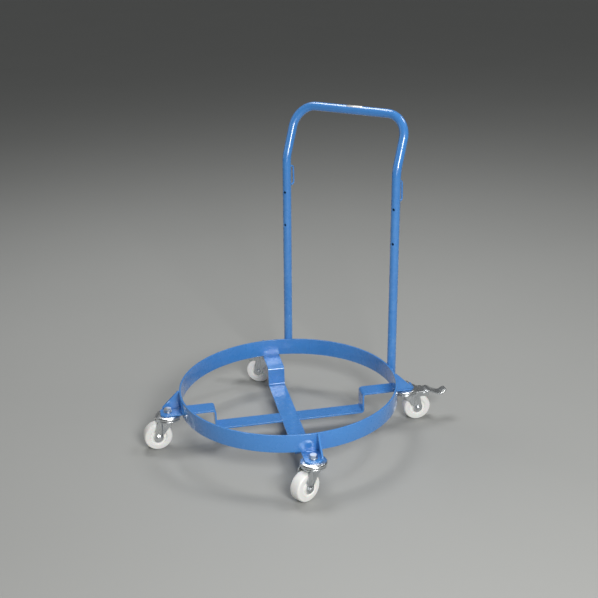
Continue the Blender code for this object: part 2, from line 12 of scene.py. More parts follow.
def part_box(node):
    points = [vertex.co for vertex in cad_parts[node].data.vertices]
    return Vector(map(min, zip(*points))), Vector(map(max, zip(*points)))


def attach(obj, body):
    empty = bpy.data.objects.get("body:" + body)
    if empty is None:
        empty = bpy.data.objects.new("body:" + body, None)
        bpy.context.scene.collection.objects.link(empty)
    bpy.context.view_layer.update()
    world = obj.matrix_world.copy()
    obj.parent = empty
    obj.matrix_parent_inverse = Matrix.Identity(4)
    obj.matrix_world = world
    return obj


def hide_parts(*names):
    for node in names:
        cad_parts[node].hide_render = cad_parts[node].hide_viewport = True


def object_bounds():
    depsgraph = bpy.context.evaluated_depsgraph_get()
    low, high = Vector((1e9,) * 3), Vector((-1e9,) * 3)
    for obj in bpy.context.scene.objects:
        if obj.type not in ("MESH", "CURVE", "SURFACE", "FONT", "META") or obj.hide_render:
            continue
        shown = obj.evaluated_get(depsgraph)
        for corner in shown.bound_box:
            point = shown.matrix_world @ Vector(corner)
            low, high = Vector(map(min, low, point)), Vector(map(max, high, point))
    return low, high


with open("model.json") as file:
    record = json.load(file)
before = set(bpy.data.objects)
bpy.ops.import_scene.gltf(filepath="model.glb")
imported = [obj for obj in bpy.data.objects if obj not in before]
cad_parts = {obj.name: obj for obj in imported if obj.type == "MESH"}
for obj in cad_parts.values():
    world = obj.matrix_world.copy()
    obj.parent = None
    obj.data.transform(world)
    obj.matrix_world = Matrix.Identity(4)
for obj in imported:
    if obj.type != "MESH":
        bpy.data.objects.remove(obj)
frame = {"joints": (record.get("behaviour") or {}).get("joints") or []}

MM = 0.001
CAD_LOW, CAD_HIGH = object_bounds()
FLOOR = CAD_LOW.z
UP = Vector((0, 0, 1))
JOINTS = {joint["name"]: joint for joint in frame["joints"]}
CORNERS = ("rear_right", "rear_left", "front_left", "front_right")
BRAKED = ("rear_right", "rear_left")

# Flat bar of the ring, cross and gussets.
RING_LOW, RING_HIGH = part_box("drum_ring")
RING_RADIUS = RING_HIGH.x
RING_SEGMENTS = 320
SEAM_ANGLE = math.radians(112)
SEAM_SUNK = 0.2 * MM
SEAM_END_GAP = 1 * MM
BAR_THICKNESS = 5 * MM
BAR_WIDTH = 50 * MM
BAR_LOW, BAR_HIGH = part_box("long_cross_bar")
SEAT_TOP = BAR_HIGH.z
CROSS_TOP = 0.0
STEP_RADIUS = 214 * MM
BAR_END_RADIUS = 367 * MM
BAR_END_CHAMFER = 10 * MM
BEND_RADIUS = 7.5 * MM
EDGE_ROUND = 0.9 * MM
HALF_BAR_GAP = 0.2 * MM
CASTER_RADIUS = Vector(JOINTS["rear_right_swivel_turn"]["pos_m"]).xy.length

# Gussets.
GUSSET_REACH = 360 * MM
GUSSET_OFFSET = 21.5 * MM
GUSSET_NOSE = 4.5 * MM
GUSSET_EDGE_ROUND = 0.7 * MM
GUSSET_SIDES = {"rear_right": -1, "rear_left": 1, "front_left": -1, "front_right": 1}

# Push handle.
TUBE_RADIUS = 12.7 * MM
TUBE_WALL = 2.0 * MM
HANDLE_LOW, HANDLE_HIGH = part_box("handle_tube")
HANDLE_HALF_WIDTH = HANDLE_HIGH.x - TUBE_RADIUS
HANDLE_LEAN = math.radians(2.3)
KINK_Z = FLOOR + 730.5 * MM
KINK_RADIUS = 90 * MM
TOP_BAR_Y = HANDLE_HIGH.y - TUBE_RADIUS
TOP_BAR_Z = HANDLE_HIGH.z - TUBE_RADIUS
TOP_CORNER_RADIUS = 66 * MM
PIN_HOLE_RADIUS = 4.0 * MM
PIN_HOLE_HEIGHTS = (FLOOR + 524.5 * MM, FLOOR + 624.5 * MM)
PIN_HOLE_FLARE = 0.8 * MM
PIN_HOLE_FLARE_DEPTH = 0.9 * MM
LOOP_LOW, LOOP_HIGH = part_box("right_strap_loop")
LOOP_WIRE_RADIUS = 2.5 * MM
LOOP_CORNER_RADIUS = 8 * MM
LOOP_SUNK = 0.5 * MM
LABEL_LOW, LABEL_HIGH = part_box("blank_label")
LABEL_GAP = 0.15 * MM
LABEL_FILM = 0.45 * MM
LABEL_ARC = (math.radians(40), math.radians(130))
LABEL_CORNER = 3 * MM
LABEL_STRIPS = 24

# Welds: the beads' radii, how far a bead's middle lies off the faces it joins, its reach, its ripples.
SEAM_BEAD = 0.7 * MM
RING_BEAD = 2.3 * MM
GUSSET_BEAD = 2.0 * MM
CROSS_BEAD = 2.2 * MM
HANDLE_BEAD = 2.9 * MM
RING_BEAD_OFF = 0.7 * MM
RING_BEAD_RISE = 0.5 * MM
RING_BEAD_INSIDE = 21 * MM
RING_BEAD_OUTSIDE = 15 * MM
GUSSET_BEAD_OFF = 0.6 * MM
CROSS_BEAD_SUNK = 0.7 * MM
HANDLE_BEAD_ASIDE = 8.2 * MM
HANDLE_BEAD_OUT = 1.0 * MM
BEAD_STEP = 0.6 * MM
RIPPLE_LENGTH = 2.4 * MM
LOOP_WELD = ((4.6, -1.0), (4.4, 0.3), (3.7, 1.3), (3.0, 2.2), (2.6, 3.4))

# Casters. AXLE_Z, CROWN_TOP and BRAKE_PIVOT are above the floor, and TRAIL is from the swivel's axis.
AXLE_Z = 40 * MM
TRAIL = 33 * MM
CROWN_TOP = 93.5 * MM
BALL_RADIUS = 2.9 * MM
BALL_TRACK = 24 * MM
BALL_COUNT = 22
BOLT_RADIUS = 6 * MM
BOLT_FLATS = 19 * MM
BOLT_HEAD = 7.5 * MM
BOLT_END = -29.5 * MM
BOLT_NUT = 8 * MM
BOLT_TURN = 17
THREAD_PITCH = 1.25 * MM
HEX_SEGMENTS = 60
AXLE_RADIUS = 4 * MM
AXLE_HOLE = 4.3 * MM
AXLE_FLATS = 13 * MM
AXLE_HEAD = 5.3 * MM
AXLE_NUT = 6.5 * MM
AXLE_COLLAR = 1.6 * MM
AXLE_PAST_NUT = 2 * MM
LOOSE = 0.3 * MM
LEG_INSIDE = 18.5 * MM
LEG_OUTSIDE = 21.5 * MM
LEG_ROUND = 0.6 * MM
LEG_CREASE = 23 * MM
LEG_LEAN = 0.09
CREASE_ROUND = 0.8 * MM
CREASE_SHARP = 4.6
EYE_RADIUS = 13 * MM
EAR_RADIUS = 7 * MM
SLEEVE_RADIUS = 8 * MM
BRAKE_PIVOT = (52 * MM, 83.8 * MM)

# Brake pedal. The lines are in mm: (along the trail, above the floor).
PEDAL_LINE = (
    (59, 88.9), (64, 90.1), (70, 89.4), (79, 84.8), (89, 79.4),
    (98, 76.0), (106, 75.0), (112.5, 78.0), (119, 81.7), (123.5, 82.8),
)
CAM_NOSE = ((59, 75.9), (64.3, 72.1), (67, 78.8), (65.4, 89.9), (59.4, 89.7))
CAM_HALF = 17.7 * MM
BARREL_RADIUS = 4.5 * MM
PEDAL_BORE = 2.8 * MM
PIN_RADIUS = 2.5 * MM
PIN_HEAD = 4.0 * MM
PEDAL_SHEET = 2.2 * MM
PEDAL_HALF = 20 * MM
FOOT_HALF = 16 * MM
PEDAL_NECK = 70 * MM
NECK_LENGTH = 10 * MM
PEDAL_SKIRT = 2.6 * MM
TIP_ROUND = 6 * MM
RIB_HALF = 11 * MM
RIB_RADIUS = 0.9 * MM
CORNER = 1.9 * MM


# -------- mesh building


def finished_mesh(name, bm, sharp_deg=35):
    """Turns bm into a mesh with outward faces, smooth apart from edges sharper than sharp_deg."""
    bmesh.ops.recalc_face_normals(bm, faces=bm.faces)
    mesh = bpy.data.meshes.new(name)
    bm.to_mesh(mesh)
    bm.free()
    mesh.shade_smooth()
    mesh.set_sharp_from_angle(angle=math.radians(sharp_deg))
    return mesh


def skin_loops(bm, loops, closed):
    """Joins rings of points into bm. Open ends get a flat cap."""
    rings = [[bm.verts.new(point) for point in loop] for loop in loops]
    pairs = list(zip(rings, rings[1:]))
    if closed:
        pairs.append((rings[-1], rings[0]))
    for first, second in pairs:
        for k in range(len(first)):
            n = (k + 1) % len(first)
            bm.faces.new((first[k], first[n], second[n], second[k]))
    if not closed:
        bm.faces.new(rings[0])
        bm.faces.new(rings[-1])


def joined_loops(name, loops, closed=False, sharp_deg=35):
    """A mesh skinned over rings of points."""
    bm = bmesh.new()
    skin_loops(bm, loops, closed)
    return finished_mesh(name, bm, sharp_deg)


def turned(name, profile, segments, sharp_deg=35):
    """A closed (radius, height) outline turned about Z, clear of the axis."""
    loops = []
    for x, y in circle(1, segments):
        loops.append([(r * x, r * y, z) for r, z in profile])
    return joined_loops(name, loops, closed=True, sharp_deg=sharp_deg)


def stacked(name, profile, segments, sharp_deg=35):
    """A solid round bar along Z with a (radius, height) outline and flat ends."""
    loops = []
    for radius, z in profile:
        loops.append([(x, y, z) for x, y in circle(radius, segments)])
    return joined_loops(name, loops, sharp_deg=sharp_deg)


def plate(name, outline, low, high):
    """An (x, z) outline given thickness along Y, from low to high."""
    loops = []
    for y in (low, high):
        loops.append([(x, y, z) for x, z in outline])
    return joined_loops(name, loops)


def rounded_plate(name, outline, low, high, edge, crease_at=None, lean=0.0):
    """A plate with both rims rounded. Where x is below crease_at it leans towards y = 0."""
    bm = bmesh.new()
    skin_loops(bm, [[(x, y, z) for x, z in outline] for y in (low, high)], False)
    bmesh.ops.recalc_face_normals(bm, faces=bm.faces)
    rims = [e for e in bm.edges if abs(e.verts[0].co.y - e.verts[1].co.y) < 1e-6]
    bmesh.ops.bevel(bm, geom=rims, offset=edge, segments=2, profile=0.5, affect="EDGES")
    if crease_at is not None:
        everything = bm.verts[:] + bm.edges[:] + bm.faces[:]
        bmesh.ops.bisect_plane(bm, geom=everything, plane_co=(crease_at, 0, 0), plane_no=(1, 0, 0))
        inward = -1 if low > 0 else 1
        for vertex in bm.verts:
            vertex.co.y += inward * lean * max(0.0, crease_at - vertex.co.x)
    return finished_mesh(name, bm)


def smooth_line(points, steps):
    """A smooth curve through a list of points."""
    ends = [2 * points[0] - points[1], *points, 2 * points[-1] - points[-2]]
    line = []
    for a, b, c, d in zip(ends, ends[1:], ends[2:], ends[3:]):
        for k in range(steps):
            t = k / steps
            bend = (2 * a - 5 * b + 4 * c - d) * t * t + (3 * b - a - 3 * c + d) * t**3
            line.append((2 * b + (c - a) * t + bend) / 2)
    return line + [points[-1]]


def circle(radius, segments):
    angles = [2 * math.pi * k / segments for k in range(segments)]
    return [(radius * math.cos(a), radius * math.sin(a)) for a in angles]


def arc(centre, radius, start, end, steps):
    """Points on an arc in a plane, angles in degrees."""
    points = []
    for k in range(steps + 1):
        angle = math.radians(start + (end - start) * k / steps)
        points.append((centre[0] + radius * math.cos(angle), centre[1] + radius * math.sin(angle)))
    return points


def in_metres(points):
    """Points or corners given in millimetres, turned to metres."""
    return [tuple(number * MM for number in point) for point in points]


def corner_arc(before, corner, after, radius, steps):
    """Points on the arc that rounds a corner between its two neighbours."""
    corner = Vector(corner)
    back = (Vector(before) - corner).normalized()
    ahead = (Vector(after) - corner).normalized()
    half = back.angle(ahead) / 2
    middle = corner + (back + ahead).normalized() * (radius / math.sin(half))
    start = corner + back * (radius / math.tan(half)) - middle
    end = corner + ahead * (radius / math.tan(half)) - middle
    return [middle + start.slerp(end, k / steps).normalized() * radius for k in range(steps + 1)]


def rounded_outline(corners, steps=4):
    """A closed flat outline. Each corner is (x, z, radius) and becomes an arc of its radius."""
    outline = []
    for k, (x, z, radius) in enumerate(corners):
        if radius <= 0:
            outline.append((x, z))
            continue
        before = corners[k - 1][:2]
        after = corners[(k + 1) % len(corners)][:2]
        outline += [tuple(point) for point in corner_arc(before, (x, z), after, radius, steps)]
    return outline


def rounded_path(corners, radii, steps):
    """A path through corners, with each inner corner turned to an arc of its radius."""
    path = [Vector(corners[0])]
    for before, corner, after, radius in zip(corners, corners[1:], corners[2:], radii):
        path += corner_arc(before, corner, after, radius, steps)
    path.append(Vector(corners[-1]))
    return path


def direction_at(path, k):
    """The path's direction at its point k."""
    ahead = path[min(k + 1, len(path) - 1)] - path[k]
    behind = path[k] - path[max(k - 1, 0)]
    return (ahead.normalized() + behind.normalized()).normalized()


def upward_at(path, k):
    """The direction square to a path in the XZ plane, on its upper side."""
    along = direction_at(path, k)
    return Vector((-along.z, 0, along.x))


def ring_round(path, k, radius, segments, side):
    """Points round path[k], square to the path. side is a direction that is never along it."""
    along = direction_at(path, k)
    across = side.cross(along).normalized()
    up = along.cross(across)
    return [path[k] + across * x + up * y for x, y in circle(radius, segments)]


def combined(name, mesh, changes, sharp_deg=35):
    """The mesh after a list of (operation, tool mesh, tool matrix) Booleans."""
    body = bpy.data.objects.new(name, mesh)
    bpy.context.collection.objects.link(body)
    tools = []
    for operation, tool_mesh, matrix in changes:
        tool = bpy.data.objects.new("tool", tool_mesh)
        tool.matrix_world = matrix
        bpy.context.collection.objects.link(tool)
        change = body.modifiers.new(operation.lower(), "BOOLEAN")
        change.operation = operation
        change.solver = "EXACT"
        change.object = tool
        tools.append(tool)
    graph = bpy.context.evaluated_depsgraph_get()
    result = bpy.data.meshes.new_from_object(body.evaluated_get(graph))
    result.name = name
    for helper in [body, *tools]:
        bpy.data.objects.remove(helper)
    result.shade_smooth()
    result.set_sharp_from_angle(angle=math.radians(sharp_deg))
    return result


def merged(name, meshes, sharp_deg=35):
    """Several meshes as one, each still its own closed shell."""
    bm = bmesh.new()
    for mesh in meshes:
        bm.from_mesh(mesh)
    return finished_mesh(name, bm, sharp_deg)


def moved(x=0.0, y=0.0, z=0.0):
    return Matrix.Translation((x, y, z))


def turned_z(degrees):
    return Matrix.Rotation(math.radians(degrees), 4, "Z")


def laid_along_y():
    """Turns the Z axis to the Y axis."""
    return Matrix.Rotation(math.radians(-90), 4, "X")


def add_piece(name, mesh, finish, body, nodes=(), matrix=Matrix.Identity(4), edge=0.0):
    """Puts a piece in the scene on its body. edge is the radius its sharp edges are rounded to."""
    piece = bpy.data.objects.new(name, mesh)
    if not mesh.materials:
        mesh.materials.append(finish)
    bpy.context.collection.objects.link(piece)
    piece.matrix_world = matrix
    if edge > 0:
        rounding = piece.modifiers.new("rounded_edges", "BEVEL")
        rounding.width = edge
        rounding.segments = 3
        rounding.limit_method = "ANGLE"
        rounding.angle_limit = math.radians(35)
        rounding.harden_normals = True
        rounding.miter_outer = "MITER_ARC"
    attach(piece, body)
    if nodes:
        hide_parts(*nodes)
    return piece


def add_blue(name, mesh, nodes=(), matrix=Matrix.Identity(4), edge=0.0):
    """A painted piece of the frame."""
    add_piece(name, mesh, BLUE, "frame", nodes, matrix, edge)


def add_weld(name, mesh, matrix=Matrix.Identity(4)):
    """A painted weld on the frame, beyond what the CAD holds."""
    add_piece(name, mesh, WELD_BLUE, "frame", (), matrix)


def add_beads(name, beads):
    """Several weld beads as one piece."""
    add_weld(name, merged(name, beads, 180))


# -------- materials


class Graph:
    """A short way to write a material's nodes."""

    def __init__(self, name):
        self.material = bpy.data.materials.new(name)
        self.material.use_nodes = True
        self.tree = self.material.node_tree
        self.shader = self.tree.nodes["Principled BSDF"]
        self.coordinates = self.make_coordinates()

    def new(self, kind):
        return self.tree.nodes.new("ShaderNode" + kind)

    def make_coordinates(self):
        """Object space, shifted for each object so that repeated pieces differ."""
        place = self.new("TexCoord")
        info = self.new("ObjectInfo")
        shift = self.new("VectorMath")
        shift.operation = "SCALE"
        shift.inputs[0].default_value = (3.1, 5.3, 7.7)
        self.put(info.outputs["Random"], shift.inputs["Scale"])
        total = self.new("VectorMath")
        self.put(place.outputs["Object"], total.inputs[0])
        self.put(shift.outputs["Vector"], total.inputs[1])
        return total.outputs["Vector"]

    def put(self, value, socket):
        """Links the socket to another node's output, or gives it a plain value."""
        if isinstance(value, bpy.types.NodeSocket):
            self.tree.links.new(value, socket)
        elif isinstance(value, tuple) and len(value) == 3 and socket.type == "RGBA":
            socket.default_value = (*value, 1)
        else:
            socket.default_value = value

    def noise(self, scale, detail=3.0, roughness=0.5, distortion=0.0, stretch=None):
        """Noise with a scale in cycles a metre. stretch multiplies the coordinates."""
        node = self.new("TexNoise")
        coordinates = self.coordinates
        if stretch:
            mapping = self.new("Mapping")
            mapping.inputs["Scale"].default_value = stretch
            self.put(coordinates, mapping.inputs["Vector"])
            coordinates = mapping.outputs["Vector"]
        self.put(coordinates, node.inputs["Vector"])
        settings = {"Scale": scale, "Detail": detail, "Roughness": roughness, "Distortion": distortion}
        for key, setting in settings.items():
            node.inputs[key].default_value = setting
        return node.outputs["Fac"]

    def ranged(self, value, low, high, to_low, to_high):
        """A value from low to high, stretched to the range to_low to to_high."""
        node = self.new("MapRange")
        self.put(value, node.inputs["Value"])
        ends = {"From Min": low, "From Max": high, "To Min": to_low, "To Max": to_high}
        for key, end in ends.items():
            node.inputs[key].default_value = end
        return node.outputs["Result"]

    def spread(self, noise, low=0.0, high=1.0):
        """Noise, mostly between 0.3 and 0.7, stretched to the range low to high."""
        return self.ranged(noise, 0.3, 0.7, low, high)

    def mixed(self, factor, first, second):
        node = self.new("Mix")
        node.data_type = "RGBA"
        self.put(factor, node.inputs["Factor"])
        self.put(first, node.inputs["A"])
        self.put(second, node.inputs["B"])
        return node.outputs["Result"]

    def maths(self, operation, first, second=0.0):
        node = self.new("Math")
        node.operation = operation
        self.put(first, node.inputs[0])
        self.put(second, node.inputs[1])
        return node.outputs["Value"]

    def pointiness(self):
        return self.new("NewGeometry").outputs["Pointiness"]

    def seen_by_matt_surfaces(self):
        """1 where a matt surface looks at this one, else 0."""
        return self.new("LightPath").outputs["Is Diffuse Ray"]

    def bump(self, *layers):
        """layers are (height, depth in metres). Sets the shader's normal."""
        normal = None
        for height, depth in layers:
            node = self.new("Bump")
            node.inputs["Distance"].default_value = depth
            self.put(height, node.inputs["Height"])
            if normal is not None:
                self.put(normal, node.inputs["Normal"])
            normal = node.outputs["Normal"]
        self.put(normal, self.shader.inputs["Normal"])

    def set(self, **values):
        """Sets the shader's inputs. base_color stands for Base Color, and so on."""
        for key, value in values.items():
            name = key.replace("_", " ").title().replace("Ior", "IOR")
            self.put(value, self.shader.inputs[name])


def blue_paint(name, texture_depth):
    """Semi-gloss powder coat: orange peel, slow shade changes, thinner and lighter on edges."""
    g = Graph(name)
    cloudy = g.spread(g.noise(9, 4))
    base = g.mixed(cloudy, (0.050, 0.225, 0.600), (0.060, 0.258, 0.655))
    specks = g.ranged(g.noise(900, 2), 0.62, 0.75, 0.0, 0.15)
    base = g.mixed(specks, base, (0.075, 0.275, 0.66))
    edge = g.ranged(g.pointiness(), 0.52, 0.62, 0.0, 0.45)
    broken = g.ranged(g.noise(60, 5), 0.45, 0.65, 0.15, 1.0)
    base = g.mixed(g.maths("MULTIPLY", edge, broken), base, (0.16, 0.38, 0.72))
    g.set(base_color=base, metallic=0.0, ior=1.5)
    g.set(roughness=g.spread(g.noise(35, 5), 0.22, 0.34))
    g.set(coat_weight=0.9, coat_roughness=g.maths("MAXIMUM", 0.13, g.seen_by_matt_surfaces()))
    g.bump((g.noise(1100, 2), texture_depth), (g.noise(160, 2), 1.6 * texture_depth))
    return g.material


def zinc_plate(name, grain, smoothest, roughest):
    """Bright zinc: a thin blue-white passivated coat over rolled sheet, with soft blotches."""
    g = Graph(name)
    blotch = g.spread(g.noise(55, 5, 0.6))
    base = g.mixed(blotch, (0.60, 0.63, 0.66), (0.77, 0.79, 0.80))
    tint = g.ranged(g.noise(26, 3), 0.52, 0.72, 0.0, 0.35)
    base = g.mixed(tint, base, (0.74, 0.73, 0.66))
    g.set(base_color=base, metallic=1.0)
    streaks = g.noise(220, 4, 0.6, stretch=(1.0, 1.0, 0.08))
    rough = g.spread(streaks, smoothest, roughest)
    g.set(roughness=g.maths("MAXIMUM", rough, g.seen_by_matt_surfaces()))
    g.bump((g.noise(1500, 3), grain), (g.noise(90, 2), 6 * grain))
    return g.material


def white_nylon():
    """Satin moulded polyamide: faint flow clouds, and light scuffs on the tread."""
    g = Graph("white_nylon")
    cloud = g.spread(g.noise(40, 4))
    base = g.mixed(cloud, (0.82, 0.82, 0.80), (0.86, 0.86, 0.845))
    scuff = g.ranged(g.noise(240, 6, 0.7, 1.0), 0.62, 0.76, 0.0, 0.30)
    base = g.mixed(scuff, base, (0.70, 0.70, 0.67))
    g.set(base_color=base, metallic=0.0, ior=1.53)
    g.set(roughness=g.spread(g.noise(120, 4), 0.36, 0.52))
    g.set(subsurface_weight=0.08, subsurface_scale=0.003)
    g.bump((g.noise(1600, 3), 0.00003), (g.noise(220, 3), 0.00006))
    return g.material


def label_film():
    """Plain white film with a slight sheen."""
    g = Graph("label_film")
    base = g.mixed(g.noise(70, 3), (0.91, 0.915, 0.92), (0.95, 0.955, 0.96))
    g.set(base_color=base, metallic=0.0, coat_weight=0.8, coat_roughness=0.12)
    g.set(roughness=g.spread(g.noise(300, 3), 0.22, 0.32))
    g.bump((g.noise(900, 2), 0.00002))
    return g.material


def floor_finish():
    """Pale matt studio floor that can be seen through from below."""
    g = Graph("studio_floor")
    clear = g.new("BsdfTransparent")
    sides = g.new("MixShader")
    g.put(g.new("NewGeometry").outputs["Backfacing"], sides.inputs["Fac"])
    g.put(g.shader.outputs["BSDF"], sides.inputs[1])
    g.put(clear.outputs["BSDF"], sides.inputs[2])
    g.put(sides.outputs["Shader"], g.tree.nodes["Material Output"].inputs["Surface"])
    g.set(base_color=g.mixed(g.noise(1.3, 4), (0.375, 0.38, 0.37), (0.395, 0.40, 0.39)))
    g.set(roughness=0.7, specular_ior_level=0.25)
    g.bump((g.noise(260, 3), 0.00006))
    return g.material


BLUE = blue_paint("blue_powder_coat", 0.00005)
WELD_BLUE = blue_paint("blue_over_weld", 0.00009)
ZINC = zinc_plate("zinc_pressings", 0.000012, 0.20, 0.34)
ZINC_FASTENER = zinc_plate("zinc_fasteners", 0.000008, 0.26, 0.40)
NYLON = white_nylon()
LABEL = label_film()


# -------- ring, cross and gussets


def add_ring():
    """A rolled flat bar with rounded edges, and the ground butt weld that closes it."""
    inside = RING_RADIUS - BAR_THICKNESS
    corners = [
        (inside, RING_LOW.z, EDGE_ROUND),
        (RING_RADIUS, RING_LOW.z, EDGE_ROUND),
        (RING_RADIUS, RING_HIGH.z, EDGE_ROUND),
        (inside, RING_HIGH.z, EDGE_ROUND),
    ]
    add_blue("ring", turned("ring", rounded_outline(corners), RING_SEGMENTS), ["drum_ring"])
    seams = []
    for k, radius in enumerate((inside + SEAM_SUNK, RING_RADIUS - SEAM_SUNK)):
        x, y = radius * math.cos(SEAM_ANGLE), radius * math.sin(SEAM_ANGLE)
        line = [Vector((x, y, RING_LOW.z + SEAM_END_GAP)), Vector((x, y, RING_HIGH.z - SEAM_END_GAP))]
        seams.append(bead(line, SEAM_BEAD, 90 + k))
    add_beads("ring_seam", seams)


def bar_loop(path, shorten_start, shorten_end, y):
    """The side outline of a bent flat bar at one place across its width."""
    path = [point.copy() for point in path]
    path[0] += (path[1] - path[0]).normalized() * shorten_start
    path[-1] += (path[-2] - path[-1]).normalized() * shorten_end
    upper = []
    lower = []
    for k, point in enumerate(path):
        normal = upward_at(path, k) * (BAR_THICKNESS / 2)
        upper.append((point.x + normal.x, y, point.z + normal.z))
        lower.append((point.x - normal.x, y, point.z - normal.z))
    return upper + lower[::-1]


def stepped_bar(name, corners, chamfer_start):
    """A flat bar bent along corners. Its far end is chamfered, and its start where asked."""
    path = rounded_path(corners, [BEND_RADIUS] * (len(corners) - 2), 8)
    half = BAR_WIDTH / 2
    loops = []
    for y, cut in (
        (-half, BAR_END_CHAMFER),
        (BAR_END_CHAMFER - half, 0),
        (half - BAR_END_CHAMFER, 0),
        (half, BAR_END_CHAMFER),
    ):
        loops.append(bar_loop(path, cut if chamfer_start else 0, cut, y))
    return joined_loops(name, loops, sharp_deg=25)


def arm_corners(start):
    """The centre line of one arm of the cross, from start out to the caster."""
    low = BAR_LOW.z + BAR_THICKNESS / 2
    high = SEAT_TOP - BAR_THICKNESS / 2
    return [(start, 0, low), (STEP_RADIUS, 0, low), (STEP_RADIUS, 0, high), (BAR_END_RADIUS, 0, high)]


def drilled(mesh, *places):
    """The bar with a bolt hole at each place along it."""
    drill = stacked("drill", [(BOLT_RADIUS, 0), (BOLT_RADIUS, 2 * SEAT_TOP)], 32)
    return combined(mesh.name, mesh, [("DIFFERENCE", drill, moved(x=x)) for x in places], 25)


def bar_degrees(corner):
    """The direction of the bar that carries a caster."""
    place = Vector(JOINTS[f"{corner}_swivel_turn"]["pos_m"])
    return math.degrees(math.atan2(place.y, place.x))


def add_cross():
    arm = arm_corners(BAR_WIDTH / 2 + HALF_BAR_GAP)
    other_arm = [(-x, y, z) for x, y, z in arm[:0:-1]]
    through = drilled(stepped_bar("long_bar", other_arm + arm[1:], True), -CASTER_RADIUS, CASTER_RADIUS)
    half = drilled(stepped_bar("half_bar", arm, False), CASTER_RADIUS)
    for name, mesh, node, degrees in (
        ("long_bar", through, "long_cross_bar", bar_degrees("front_right")),
        ("right_bar", half, "right_cross_bar", bar_degrees("rear_right")),
        ("left_bar", half, "left_cross_bar", bar_degrees("front_left")),
    ):
        add_blue(name, mesh, [node], turned_z(degrees), EDGE_ROUND)


def add_gussets():
    near_edge = GUSSET_OFFSET - BAR_THICKNESS / 2
    foot = math.sqrt(RING_RADIUS**2 - near_edge**2)
    outline = [
        (foot, RING_LOW.z),
        (GUSSET_REACH, RING_LOW.z),
        (GUSSET_REACH, RING_LOW.z + GUSSET_NOSE),
        (foot + GUSSET_NOSE, RING_HIGH.z),
        (foot, RING_HIGH.z),
    ]
    half = BAR_THICKNESS / 2
    for corner in CORNERS:
        name = f"{corner}_brace"
        middle = GUSSET_SIDES[corner] * GUSSET_OFFSET
        mesh = plate(name, outline, middle - half, middle + half)
        add_blue(name, mesh, [f"{corner}_gusset"], turned_z(bar_degrees(corner)), GUSSET_EDGE_ROUND)


# -------- push handle


def upright_y(z):
    """How far back the upright's centre line is at a height."""
    return HANDLE_LOW.y + TUBE_RADIUS + (z - HANDLE_LOW.z) * math.tan(HANDLE_LEAN)


def handle_path(steps):
    """The tube's centre line: up the right side, over the top and down the left side."""
    foot = (upright_y(HANDLE_LOW.z), HANDLE_LOW.z)
    kink = (upright_y(KINK_Z), KINK_Z)
    top = (TOP_BAR_Y, TOP_BAR_Z)
    right = [(HANDLE_HALF_WIDTH, y, z) for y, z in (foot, kink, top)]
    left = [(-x, y, z) for x, y, z in right[::-1]]
    radii = (KINK_RADIUS, TOP_CORNER_RADIUS, TOP_CORNER_RADIUS, KINK_RADIUS)
    return rounded_path(right + left, radii, steps)


def add_handle():
    path = handle_path(16)
    slope = Vector((0, TOP_BAR_Z - KINK_Z, upright_y(KINK_Z) - TOP_BAR_Y)).normalized()
    outside = [ring_round(path, k, TUBE_RADIUS, 48, slope) for k in range(len(path))]
    inside = [ring_round(path, k, TUBE_RADIUS - TUBE_WALL, 48, slope) for k in range(len(path))]
    tube = joined_loops("handle", outside + inside[::-1], closed=True)
    wide = PIN_HOLE_RADIUS + PIN_HOLE_FLARE
    past = TUBE_RADIUS + 0.2 * MM
    deep = TUBE_RADIUS - PIN_HOLE_FLARE_DEPTH
    flare = [(wide, -past), (PIN_HOLE_RADIUS, -deep), (PIN_HOLE_RADIUS, deep), (wide, past)]
    drill = stacked("drill", flare, 28)
    cuts = []
    for z in PIN_HOLE_HEIGHTS:
        for x in (-HANDLE_HALF_WIDTH, HANDLE_HALF_WIDTH):
            cuts.append(("DIFFERENCE", drill, moved(x, upright_y(z), z) @ laid_along_y()))
    tube = combined("handle", tube, cuts)
    add_blue("handle", tube, ["handle_tube"])


def add_strap_loops():
    """A bent wire on the back of each upright, with a small weld at each end."""
    low = LOOP_LOW.z + LOOP_WIRE_RADIUS
    high = LOOP_HIGH.z - LOOP_WIRE_RADIUS
    back = LOOP_HIGH.y - LOOP_WIRE_RADIUS
    start = TUBE_RADIUS - LOOP_SUNK
    corners = [
        (0, upright_y(low) + start, low),
        (0, back, low),
        (0, back, high),
        (0, upright_y(high) + start, high),
    ]
    path = rounded_path(corners, [LOOP_CORNER_RADIUS] * 2, 10)
    side = Vector((1, 0, 0))
    loops = [ring_round(path, k, LOOP_WIRE_RADIUS, 20, side) for k in range(len(path))]
    mesh = joined_loops("strap_loop", loops)
    blob = stacked("loop_weld", in_metres(LOOP_WELD), 20, 180)
    for side_name, x in (("right", HANDLE_HALF_WIDTH), ("left", -HANDLE_HALF_WIDTH)):
        add_blue(f"{side_name}_loop", mesh, [f"{side_name}_strap_loop"], moved(x=x))
        for end, z in (("low", low), ("high", high)):
            matrix = moved(x, upright_y(z) + TUBE_RADIUS, z) @ laid_along_y()
            add_weld(f"{side_name}_loop_{end}_weld", blob, matrix)


